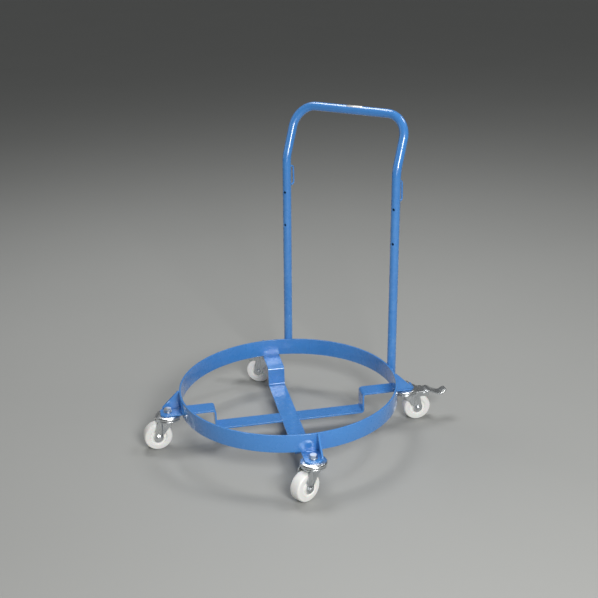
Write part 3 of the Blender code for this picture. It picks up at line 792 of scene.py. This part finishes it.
def add_label():
    """A thin blank film: a flat sheet with rounded corners, cut in strips and bent over the top bar."""
    radius = TUBE_RADIUS + LABEL_GAP
    half_length = (LABEL_HIGH.x - LABEL_LOW.x) / 2
    middle = (LABEL_HIGH.x + LABEL_LOW.x) / 2
    start, end = LABEL_ARC
    half_arc = radius * (end - start) / 2
    corners = []
    for x, y in ((-1, -1), (1, -1), (1, 1), (-1, 1)):
        corners.append((x * half_length, y * half_arc, LABEL_CORNER))
    bm = bmesh.new()
    bm.faces.new([bm.verts.new((x, y, 0)) for x, y in rounded_outline(corners, 5)])
    for k in range(1, LABEL_STRIPS):
        cut = -half_arc + 2 * half_arc * k / LABEL_STRIPS
        geometry = bm.verts[:] + bm.edges[:] + bm.faces[:]
        bmesh.ops.bisect_plane(bm, geom=geometry, plane_co=(0, cut, 0), plane_no=(0, 1, 0))
    for vertex in bm.verts:
        angle = (start + end) / 2 + vertex.co.y / radius
        vertex.co.y = radius * math.cos(angle)
        vertex.co.z = radius * math.sin(angle)
    mesh = finished_mesh("label", bm, 60)
    matrix = moved(middle, TOP_BAR_Y, TOP_BAR_Z)
    piece = add_piece("label", mesh, LABEL, "frame", ["blank_label"], matrix)
    film = piece.modifiers.new("film", "SOLIDIFY")
    film.thickness = LABEL_FILM
    film.offset = 1


# -------- welds


def bead(path, radius, seed):
    """A welded bead: evenly spaced ripples of uneven size, tapered ends. Each seed looks different."""
    dice = random.Random(seed)
    points = [Vector(path[0])]
    for first, second in zip(path, path[1:]):
        steps = max(1, round((Vector(second) - Vector(first)).length / BEAD_STEP))
        for k in range(1, steps + 1):
            points.append(Vector(first).lerp(Vector(second), k / steps))
    side = direction_at(points, 0).orthogonal()
    loops = []
    travelled = 0.0
    lump = 1.0
    for k, point in enumerate(points):
        if k:
            travelled += (point - points[k - 1]).length
        phase = (travelled / RIPPLE_LENGTH) % 1.0
        if phase < 0.25:
            lump = 0.8 * lump + 0.2 * dice.uniform(0.86, 1.14)
        ripple = 0.90 + 0.13 * math.sqrt(abs(math.sin(math.pi * phase)))
        from_end = min(k, len(points) - 1 - k) * BEAD_STEP
        taper = min(1.0, 0.35 + 0.65 * math.sqrt(from_end / (1.5 * radius)))
        along = direction_at(points, k)
        side = (side - along * side.dot(along)).normalized()
        other = along.cross(side)
        size = radius * ripple * lump * taper
        loops.append([point + side * x + other * y for x, y in circle(size, 12)])
    return joined_loops("bead", loops, sharp_deg=180)


def on_bar(degrees, points):
    """Points given along, across and above a bar, turned to the bar's direction."""
    matrix = turned_z(degrees)
    return [matrix @ Vector(point) for point in points]


def ring_arc(radius, centre_degrees, half_width, z):
    """An arc round the ring's axis that crosses a bar's width."""
    spread = math.degrees(math.asin(half_width / radius))
    points = arc((0, 0), radius, centre_degrees - spread, centre_degrees + spread, 8)
    return [Vector((x, y, z)) for x, y in points]


def add_ring_welds():
    """The ring is welded to each bar inside and outside."""
    inner = RING_RADIUS - BAR_THICKNESS - RING_BEAD_OFF
    outer = RING_RADIUS + RING_BEAD_OFF
    height = SEAT_TOP + RING_BEAD_RISE
    beads = []
    for k, corner in enumerate(CORNERS):
        degrees = bar_degrees(corner)
        beads.append(bead(ring_arc(inner, degrees, RING_BEAD_INSIDE, height), RING_BEAD, k))
        beads.append(bead(ring_arc(outer, degrees, RING_BEAD_OUTSIDE, height), RING_BEAD, 10 + k))
    add_beads("ring_welds", beads)


def add_gusset_welds():
    """Each gusset is welded to the bar on one side, and to the ring on both sides."""
    height = SEAT_TOP + GUSSET_BEAD_OFF
    beads = []
    for k, corner in enumerate(CORNERS):
        degrees = bar_degrees(corner)
        side = GUSSET_SIDES[corner]
        inner = side * (GUSSET_OFFSET - BAR_THICKNESS / 2 - GUSSET_BEAD_OFF)
        outer = side * (GUSSET_OFFSET + BAR_THICKNESS / 2 + GUSSET_BEAD_OFF)
        level = [(x, inner, height) for x in (RING_RADIUS + 3 * MM, GUSSET_REACH - 3 * MM)]
        beads.append(bead(on_bar(degrees, level), GUSSET_BEAD, 20 + k))
        for place, y in enumerate((inner, outer)):
            x = math.sqrt(RING_RADIUS**2 - y**2) + GUSSET_BEAD_OFF
            upright = [(x, y, SEAT_TOP + 2 * MM), (x, y, RING_HIGH.z - 3 * MM)]
            beads.append(bead(on_bar(degrees, upright), GUSSET_BEAD, 30 + 4 * place + k))
    add_beads("gusset_welds", beads)


def add_cross_welds():
    """The half bars are welded to both sides of the long bar, above and below."""
    beads = []
    edge = BAR_WIDTH / 2
    reach = edge - 2 * MM
    for k, corner in enumerate(("rear_right", "front_left")):
        for place, z in enumerate((CROSS_TOP - CROSS_BEAD_SUNK, BAR_LOW.z + CROSS_BEAD_SUNK)):
            line = on_bar(bar_degrees(corner), [(edge, -reach, z), (edge, reach, z)])
            beads.append(bead(line, CROSS_BEAD, 50 + 2 * k + place))
    add_beads("cross_welds", beads)


def add_handle_welds():
    """Each upright is welded to the ring in the valleys on both sides of the tube."""
    beads = []
    for k, x in enumerate((HANDLE_HALF_WIDTH, -HANDLE_HALF_WIDTH)):
        foot = Vector((x, upright_y(HANDLE_LOW.z), 0))
        outward = foot.normalized()
        sideways = UP.cross(outward)
        touch = outward * RING_RADIUS
        for place, turn in enumerate((-1, 1)):
            base = touch + sideways * (turn * HANDLE_BEAD_ASIDE) + outward * HANDLE_BEAD_OUT
            line = [base + UP * (HANDLE_LOW.z + 3 * MM), base + UP * (RING_HIGH.z - 2 * MM)]
            beads.append(bead(line, HANDLE_BEAD, 60 + 2 * k + place))
    add_beads("handle_welds", beads)


# -------- caster pieces


def hex_radius(across_flats, angle):
    """Distance from the axis to a hexagon's side in a direction."""
    from_flat = (angle % (math.pi / 3)) - math.pi / 6
    return across_flats / 2 / math.cos(from_flat)


def hex_loops(across_flats, low, high, chamfer_low, chamfer_high):
    """Loops of a hexagonal bar along Z whose corners are turned off at 30 degrees at either end."""
    corner = across_flats / 2 / math.cos(math.pi / 6)
    flat_top = 0.94 * across_flats / 2
    levels = []
    for share in (0, 0.2, 0.45, 0.7, 1.0):
        cut = (corner - flat_top) * share
        levels.append((cut * math.tan(math.radians(30)), flat_top + cut))
    steps = [(low, corner)]
    if chamfer_low:
        steps = [(low + rise, limit) for rise, limit in levels]
    if chamfer_high:
        steps += [(high - rise, limit) for rise, limit in levels[::-1]]
    else:
        steps.append((high, corner))
    loops = []
    for z, limit in steps:
        loop = []
        for x, y in circle(1, HEX_SEGMENTS):
            radius = min(hex_radius(across_flats, math.atan2(y, x)), limit)
            loop.append((radius * x, radius * y, z))
        loops.append(loop)
    return loops


def threaded_profile(radius, low, high):
    """The outline of a screw thread as close rings, from low to high."""
    root = 0.87 * radius
    profile = [(0.82 * radius, low)]
    z = low + 0.3 * THREAD_PITCH
    while z < high - THREAD_PITCH:
        profile += [(root, z), (radius, z + 0.45 * THREAD_PITCH), (radius, z + 0.6 * THREAD_PITCH)]
        z += THREAD_PITCH
    profile.append((radius, high))
    return profile


def bolt_mesh(name, radius, across_flats, head, end):
    """A hex bolt along Z: its head sits on z = 0 and its threaded shank runs down to end."""
    bm = bmesh.new()
    skin_loops(bm, hex_loops(across_flats, 0, head, False, True), closed=False)
    shank = stacked("shank", threaded_profile(radius, end, 0.5 * head), 24)
    return combined(name, finished_mesh(name, bm), [("UNION", shank, moved())], 30)


def nut_mesh(name, hole, across_flats, height, collar):
    """A nut on z = 0. Where collar is above 0 it is a lock nut, with a round collar at the top."""
    bm = bmesh.new()
    skin_loops(bm, hex_loops(across_flats, 0, height - collar, True, True), closed=False)
    changes = []
    if collar > 0:
        outer = 0.44 * across_flats
        root = height - 1.3 * collar
        profile = [(outer, root), (outer, root + 0.75 * (height - root)), (0.9 * outer, height)]
        changes.append(("UNION", stacked("collar", profile, 32), moved()))
    drill = stacked("drill", [(hole, -height), (hole, 2 * height)], 32)
    changes.append(("DIFFERENCE", drill, moved()))
    return combined(name, finished_mesh(name, bm), changes, 30)


def washer_mesh():
    """A flat washer. The corners here and below are in mm: (radius, height, corner radius)."""
    corners = [(6.3, 0, 0), (12, 0, 0.5), (12, 2.5, 0.8), (6.3, 2.5, 0.3)]
    return turned("flat_washer", rounded_outline(in_metres(corners)), 48)


def race_mesh():
    """The fixed upper race: a pressed dish with a raised middle, a rolled shoulder and a curled lip."""
    corners = [
        (6.3, 102.2, 0),
        (26.0, 102.2, 1.0),
        (30.0, 101.4, 2.0),
        (34.0, 100.4, 2.6),
        (36.0, 97.3, 2.4),
        (36.0, 92.8, 0.9),
        (33.8, 92.8, 0.9),
        (33.8, 96.7, 1.5),
        (32.0, 98.5, 1.5),
        (28.0, 99.1, 1.0),
        (6.3, 99.1, 0),
    ]
    return turned("upper_race", rounded_outline(in_metres(corners), 5), 96, 40)


def ball_ring_mesh():
    """The bearing balls, evenly spaced in their track."""
    bm = bmesh.new()
    z = CROWN_TOP + LOOSE + BALL_RADIUS
    for x, y in circle(BALL_TRACK, BALL_COUNT):
        spot = moved(x, y, z)
        bmesh.ops.create_uvsphere(bm, u_segments=14, v_segments=8, radius=BALL_RADIUS, matrix=spot)
    return finished_mesh("balls", bm, 180)


def crown_mesh():
    """The fork's dished crown with its downturned rim."""
    corners = [
        (6.3, 93.5, 0),
        (26.0, 93.5, 2.0),
        (29.5, 92.5, 2.0),
        (34.3, 90.7, 3.0),
        (34.3, 85.5, 0.9),
        (32.0, 85.5, 0.9),
        (32.0, 88.9, 1.8),
        (28.5, 90.1, 1.5),
        (24.0, 91.1, 1.0),
        (6.3, 91.1, 0),
    ]
    return turned("crown", rounded_outline(in_metres(corners), 18), 96, 40)


def leg_outline(braked):
    """One fork leg seen from the side: from the crown down round the axle."""
    top = 92.3 * MM
    axle = (TRAIL, AXLE_Z)
    outline = [(-10 * MM, top), (-10 * MM, 81.5 * MM)]
    outline += arc(axle, EYE_RADIUS, 160, 372, 28)
    if braked:
        outline.append((39 * MM, 76.5 * MM))
        outline += arc(BRAKE_PIVOT, EAR_RADIUS, -60, 80, 14)
        outline.append((27 * MM, 91.1 * MM))
    else:
        outline.append((36 * MM, 83.5 * MM))
    outline.append((27 * MM, top))
    return outline


def fork_mesh(braked):
    """The swivel fork: crown, two creased legs with the axle's hole, and a web between braked legs."""
    name = "braked_fork" if braked else "fork"
    outline = leg_outline(braked)
    changes = []
    ridge = [(0.3 * MM, 50 * MM), (CREASE_ROUND, 54 * MM), (CREASE_ROUND, 86 * MM)]
    crease = stacked("crease", ridge, 12)
    for low, high in ((-LEG_OUTSIDE, -LEG_INSIDE), (LEG_INSIDE, LEG_OUTSIDE)):
        leg = rounded_plate("leg", outline, low, high, LEG_ROUND, LEG_CREASE, LEG_LEAN)
        changes.append(("UNION", leg, moved()))
        outside = low if low < 0 else high
        changes.append(("UNION", crease, moved(x=LEG_CREASE, y=outside)))
    if braked:
        web_outline = in_metres(((20, 88.9), (53, 88.9), (53, 91.6), (20, 91.6)))
        half = LEG_OUTSIDE - 0.5 * MM
        changes.append(("UNION", rounded_plate("web", web_outline, -half, half, LEG_ROUND), moved()))
    drill = stacked("drill", [(AXLE_HOLE, -2 * LEG_OUTSIDE), (AXLE_HOLE, 2 * LEG_OUTSIDE)], 32)
    changes.append(("DIFFERENCE", drill, moved(x=TRAIL, z=AXLE_Z) @ laid_along_y()))
    return combined(name, crown_mesh(), changes, CREASE_SHARP)


def wheel_mesh():
    """A solid moulded wheel along Z: hub boss, recessed web, rim ring, crowned tread, parting line."""
    side = [
        (8.3, 17.5, 0.4),
        (14.0, 17.5, 0.8),
        (15.2, 12.0, 1.2),
        (21.8, 12.0, 1.4),
        (23.8, 15.8, 1.6),
        (28.0, 16.0, 1.0),
        (36.6, 16.0, 2.2),
        (39.3, 12.6, 4.0),
        (40.0, 5.0, 6.0),
    ]
    ridge = [(39.95, 0.5, 0.1), (40.0, 0.25, 0.1)]
    half = side + ridge
    corners = half + [(r, -z, c) for r, z, c in half[::-1]]
    return turned("wheel", rounded_outline(in_metres(corners)), 128, 40)


def sleeve_mesh():
    """The tube between the fork's legs that the wheel turns on."""
    half = LEG_INSIDE - LOOSE
    rim = 0.5 * MM
    upper = [(SLEEVE_RADIUS, half, rim), (AXLE_HOLE, half, 0)]
    lower = [(r, -z, c) for r, z, c in upper[::-1]]
    return turned("sleeve", rounded_outline(lower + upper, 3), 40)


def pedal_station(path, k, half, skirt):
    """The cross-section of the pressed foot plate at one place: flat top and turned-down sides."""
    up = upward_at(path, k)
    top = PEDAL_SHEET / 2
    inner = half - PEDAL_SHEET
    section = [(-half, -skirt)]
    section += arc((CORNER - half, top - CORNER), CORNER, 180, 90, 4)
    section += arc((half - CORNER, top - CORNER), CORNER, 90, 0, 4)
    section += [(half, -skirt), (inner, -skirt), (inner, -top), (-inner, -top), (-inner, -skirt)]
    return [path[k] + Vector((0, y, 0)) + up * n for y, n in section]


def pedal_mesh():
    """The brake pedal about its pin: barrel, cam nose, foot plate with side skirts and grip ribs."""
    pivot = Vector((BRAKE_PIVOT[0], 0, BRAKE_PIVOT[1]))
    path = smooth_line([Vector((x * MM, 0, z * MM)) - pivot for x, z in PEDAL_LINE], 4)
    loops = []
    for k, point in enumerate(path):
        x = point.x + pivot.x
        from_neck = min(1.0, max(0.0, (x - PEDAL_NECK) / NECK_LENGTH))
        half = PEDAL_HALF - from_neck * (PEDAL_HALF - FOOT_HALF)
        from_tip = path[-1].x - point.x
        half -= TIP_ROUND * (1 - math.sqrt(min(1.0, (from_tip + 0.4 * MM) / TIP_ROUND)))
        skirt = PEDAL_SHEET / 2 + PEDAL_SKIRT * min(1.0, from_tip / TIP_ROUND)
        loops.append(pedal_station(path, k, half, skirt))
    foot_plate = joined_loops("pedal", loops)
    nose = arc((0, 0), BARREL_RADIUS, 70, 250, 14)
    nose += [(x * MM - pivot.x, z * MM - pivot.z) for x, z in CAM_NOSE]
    cam = rounded_plate("cam", nose, -CAM_HALF, CAM_HALF, 0.4 * MM)
    changes = [("UNION", cam, moved())]
    full = RIB_HALF - 1 * MM
    slim = RIB_RADIUS - 0.3 * MM
    rib_line = [(slim, -RIB_HALF), (RIB_RADIUS, -full), (RIB_RADIUS, full), (slim, RIB_HALF)]
    rib = stacked("rib", rib_line, 12)
    for share in (0.80, 0.86, 0.92):
        k = round(share * (len(path) - 1))
        spot = path[k] + upward_at(path, k) * (PEDAL_SHEET / 2)
        changes.append(("UNION", rib, Matrix.Translation(spot) @ laid_along_y()))
    drill = stacked("drill", [(PEDAL_BORE, -2 * PEDAL_HALF), (PEDAL_BORE, 2 * PEDAL_HALF)], 24)
    changes.append(("DIFFERENCE", drill, laid_along_y()))
    return combined("pedal", foot_plate, changes, 30)


def pin_mesh():
    """A headed and peened brake pin along Z."""
    end = LEG_OUTSIDE + 1.5 * MM
    half = [(PIN_RADIUS, LEG_OUTSIDE + 0.1 * MM), (PIN_HEAD, LEG_OUTSIDE + 0.2 * MM)]
    half += [(PIN_HEAD, end - 0.7 * MM), (PIN_HEAD - 1.2 * MM, end)]
    profile = [(r, -z) for r, z in half[::-1]] + half
    return stacked("pin", profile, 28, 50)


def caster_meshes():
    """The meshes that the four casters share."""
    axle_end = -(2 * LEG_OUTSIDE + AXLE_NUT + AXLE_PAST_NUT)
    return {
        "bolt": bolt_mesh("hex_bolt", BOLT_RADIUS, BOLT_FLATS, BOLT_HEAD, BOLT_END),
        "nut": nut_mesh("hex_nut", BOLT_RADIUS, BOLT_FLATS, BOLT_NUT, 0),
        "washer": washer_mesh(),
        "race": race_mesh(),
        "balls": ball_ring_mesh(),
        "fork": fork_mesh(False),
        "braked_fork": fork_mesh(True),
        "wheel": wheel_mesh(),
        "sleeve": sleeve_mesh(),
        "axle": bolt_mesh("axle_bolt", AXLE_RADIUS, AXLE_FLATS, AXLE_HEAD, axle_end),
        "axle_nut": nut_mesh("axle_nut", AXLE_RADIUS, AXLE_FLATS, AXLE_NUT, AXLE_COLLAR),
        "pedal": pedal_mesh(),
        "pin": pin_mesh(),
    }


def swivel_matrix(corner):
    """Caster space: origin on the floor under the swivel, X along the trail, Y along the axle."""
    swivel = Vector(JOINTS[f"{corner}_swivel_turn"]["pos_m"])
    axle = Vector(JOINTS[f"{corner}_wheel_spin"]["pos_m"])
    degrees = math.degrees(math.atan2(axle.y - swivel.y, axle.x - swivel.x))
    return moved(swivel.x, swivel.y, FLOOR) @ turned_z(degrees)


def add_mounting(corner, meshes):
    """The pieces that stay with the frame."""
    swivel = Vector(JOINTS[f"{corner}_swivel_turn"]["pos_m"])
    base = moved(swivel.x, swivel.y, FLOOR) @ turned_z(bar_degrees(corner))
    washer_low, washer_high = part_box(f"{corner}_washer")
    bolt_place = base @ moved(z=washer_high.z - FLOOR + LOOSE) @ turned_z(BOLT_TURN)
    washer_place = base @ moved(z=washer_low.z - FLOOR)
    nut_place = base @ moved(z=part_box(f"{corner}_mounting_nut")[0].z - FLOOR)
    for name, node, mesh, finish, matrix in (
        ("bolt", "mounting_bolt", "bolt", ZINC_FASTENER, bolt_place),
        ("flat_washer", "washer", "washer", ZINC_FASTENER, washer_place),
        ("race", "upper_race", "race", ZINC, base),
        ("nut", "mounting_nut", "nut", ZINC_FASTENER, nut_place),
    ):
        add_piece(f"{corner}_{name}", meshes[mesh], finish, "frame", [f"{corner}_{node}"], matrix)


def add_swivel(corner, meshes):
    """The pieces that turn with the fork, the wheel, and the brake where there is one."""
    base = swivel_matrix(corner)
    across = base @ moved(x=TRAIL, z=AXLE_Z) @ laid_along_y()
    side = LEG_OUTSIDE + LOOSE
    head_place = across @ moved(z=side)
    nut_place = across @ moved(z=-side) @ Matrix.Rotation(math.pi, 4, "X")
    fork = "braked_fork" if corner in BRAKED else "fork"
    pieces = [
        ("swivel_fork", "fork", fork, ZINC, "swivel", base),
        ("balls", "ball_ring", "balls", ZINC_FASTENER, "swivel", base),
        ("sleeve", "axle_sleeve", "sleeve", ZINC_FASTENER, "swivel", across),
        ("axle", "axle_bolt", "axle", ZINC_FASTENER, "swivel", head_place),
        ("axle_locknut", "axle_nut", "axle_nut", ZINC_FASTENER, "swivel", nut_place),
        ("roller", "wheel", "wheel", NYLON, "wheel_body", across),
    ]
    if corner in BRAKED:
        pivot = base @ moved(x=BRAKE_PIVOT[0], z=BRAKE_PIVOT[1])
        pin_place = pivot @ laid_along_y()
        pieces.append(("pedal", "brake_pedal", "pedal", ZINC, "pedal_body", pivot))
        pieces.append(("pin", "brake_pin", "pin", ZINC_FASTENER, "swivel", pin_place))
    for name, node, mesh, finish, body, matrix in pieces:
        nodes = [f"{corner}_{node}"]
        add_piece(f"{corner}_{name}", meshes[mesh], finish, f"{corner}_{body}", nodes, matrix)


# -------- stage, light and camera


def add_floor():
    """A wide flat floor at the wheels' lowest point."""
    bm = bmesh.new()
    bmesh.ops.create_grid(bm, x_segments=1, y_segments=1, size=30)
    mesh = finished_mesh("studio_floor", bm)
    floor = bpy.data.objects.new("studio_floor", mesh)
    floor.location = (0, 0, FLOOR)
    mesh.materials.append(floor_finish())
    bpy.context.collection.objects.link(floor)


def add_light(name, location, target, size, power, colour=(1, 1, 1)):
    """A rectangular light aimed at target, left out of the picture itself."""
    data = bpy.data.lights.new(name, "AREA")
    data.shape = "RECTANGLE"
    data.size, data.size_y = size
    data.energy = power
    data.color = colour
    light = bpy.data.objects.new(name, data)
    light.location = location
    light.rotation_euler = (Vector(target) - Vector(location)).to_track_quat("-Z", "Y").to_euler()
    light.visible_camera = False
    bpy.context.collection.objects.link(light)


def add_lights():
    world = bpy.data.worlds.new("studio")
    world.use_nodes = True
    background = world.node_tree.nodes["Background"]
    background.inputs["Color"].default_value = (0.55, 0.56, 0.56, 1)
    background.inputs["Strength"].default_value = 0.25
    bpy.context.scene.world = world
    add_light("overhead_left", (-1.2, 0.8, 3.0), (0, 0.1, 0.3), (1.3, 1.1), 38)
    add_light("overhead_right", (1.1, 1.6, 2.8), (0, 0.1, 0.3), (0.8, 0.8), 20)
    add_light("key", (2.4, -1.8, 2.0), (0, 0, 0.3), (1.0, 1.0), 88, (1.0, 0.99, 0.97))
    add_light("front_strip", (1.7, -2.3, 1.0), (0, 0, 0.4), (0.4, 1.2), 7)
    add_light("fill", (-2.8, -1.2, 1.6), (0, 0, 0.3), (0.9, 1.8), 5, (0.97, 0.98, 1.0))


def add_camera():
    """The camera looks down on the dolly from its front right, slightly rolled."""
    azimuth = math.radians(34.97)
    pitch = math.radians(21.48)
    roll = math.radians(-1.71)
    distance = 2.928
    aim = Vector((-0.0236, 0.0996, 0.3242))
    level_ahead = Vector((-math.sin(azimuth), math.cos(azimuth), 0))
    level_right = Vector((math.cos(azimuth), math.sin(azimuth), 0))
    forward = level_ahead * math.cos(pitch) - UP * math.sin(pitch)
    level_up = level_right.cross(forward)
    right = level_right * math.cos(roll) + level_up * math.sin(roll)
    up = level_up * math.cos(roll) - level_right * math.sin(roll)
    data = bpy.data.cameras.new("camera")
    data.lens = 61.65
    data.sensor_width = 36
    camera = bpy.data.objects.new("camera", data)
    rotation = Matrix((right, up, -forward)).transposed().to_4x4()
    camera.matrix_world = Matrix.Translation(aim - forward * distance) @ rotation
    bpy.context.collection.objects.link(camera)
    bpy.context.scene.camera = camera


# -------- the whole model

add_ring()
add_cross()
add_gussets()
add_handle()
add_strap_loops()
add_label()
add_ring_welds()
add_gusset_welds()
add_cross_welds()
add_handle_welds()
MESHES = caster_meshes()
for corner_name in CORNERS:
    add_mounting(corner_name, MESHES)
    add_swivel(corner_name, MESHES)
add_floor()
add_lights()
add_camera()
bpy.context.scene.view_settings.view_transform = "Standard"
